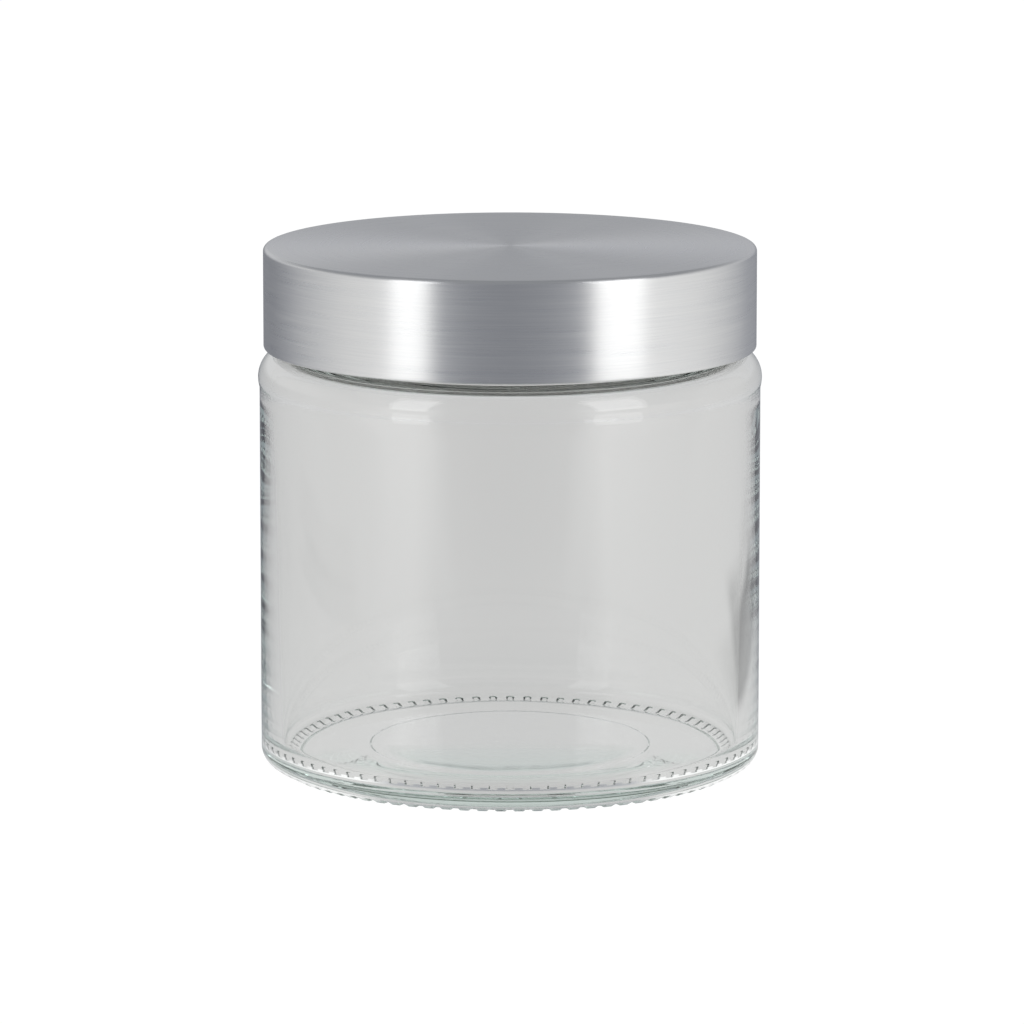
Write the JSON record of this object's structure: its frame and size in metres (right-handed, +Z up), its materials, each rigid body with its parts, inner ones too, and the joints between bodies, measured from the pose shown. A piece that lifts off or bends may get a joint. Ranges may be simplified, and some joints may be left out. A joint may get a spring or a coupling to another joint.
{
  "type": "storage jar",
  "caption": "Clear glass storage jar with a straight round body, a gripped base ring and a brushed aluminium screw lid lined with a soft seal.",
  "frame": {"origin": "on the jar's axis, in the plane of the bearing ring that it stands on", "axes": "+Z up along the jar's axis, which is also the thread's axis; the jar is round, so +X is only where one thread starts"},
  "size_m": [0.085, 0.085, 0.0889],
  "materials": {
    "clear_glass": "clear soda-lime glass, faintly green where it is thick",
    "brushed_aluminium": "brushed round the side and in circles on the top, clear lacquer",
    "white_plastic": "moulded white polypropylene",
    "seal_foam": "closed-cell polyethylene foam"
  },
  "bodies": {
    "jar": {"glass_jar": "clear_glass"},
    "seal": {"seal_liner": "seal_foam"},
    "lid": {"lid_shell": "brushed_aluminium", "thread_insert": "white_plastic"}
  },
  "joints": [
    {"name": "lid_lift", "type": "slide", "parent": "jar", "child": "seal", "axis": [0, 0, 1], "range_m": [0, 0.04]},
    {"name": "lid_turn", "type": "hinge", "parent": "seal", "child": "lid", "pos_m": [0, 0, 0.086], "axis": [0, 0, 1], "range_deg": [0, 900]}
  ],
  "couplings": [
    {"joint": "lid_lift", "follows": "lid_turn", "m_per_rad": 0.0025465}
  ]
}
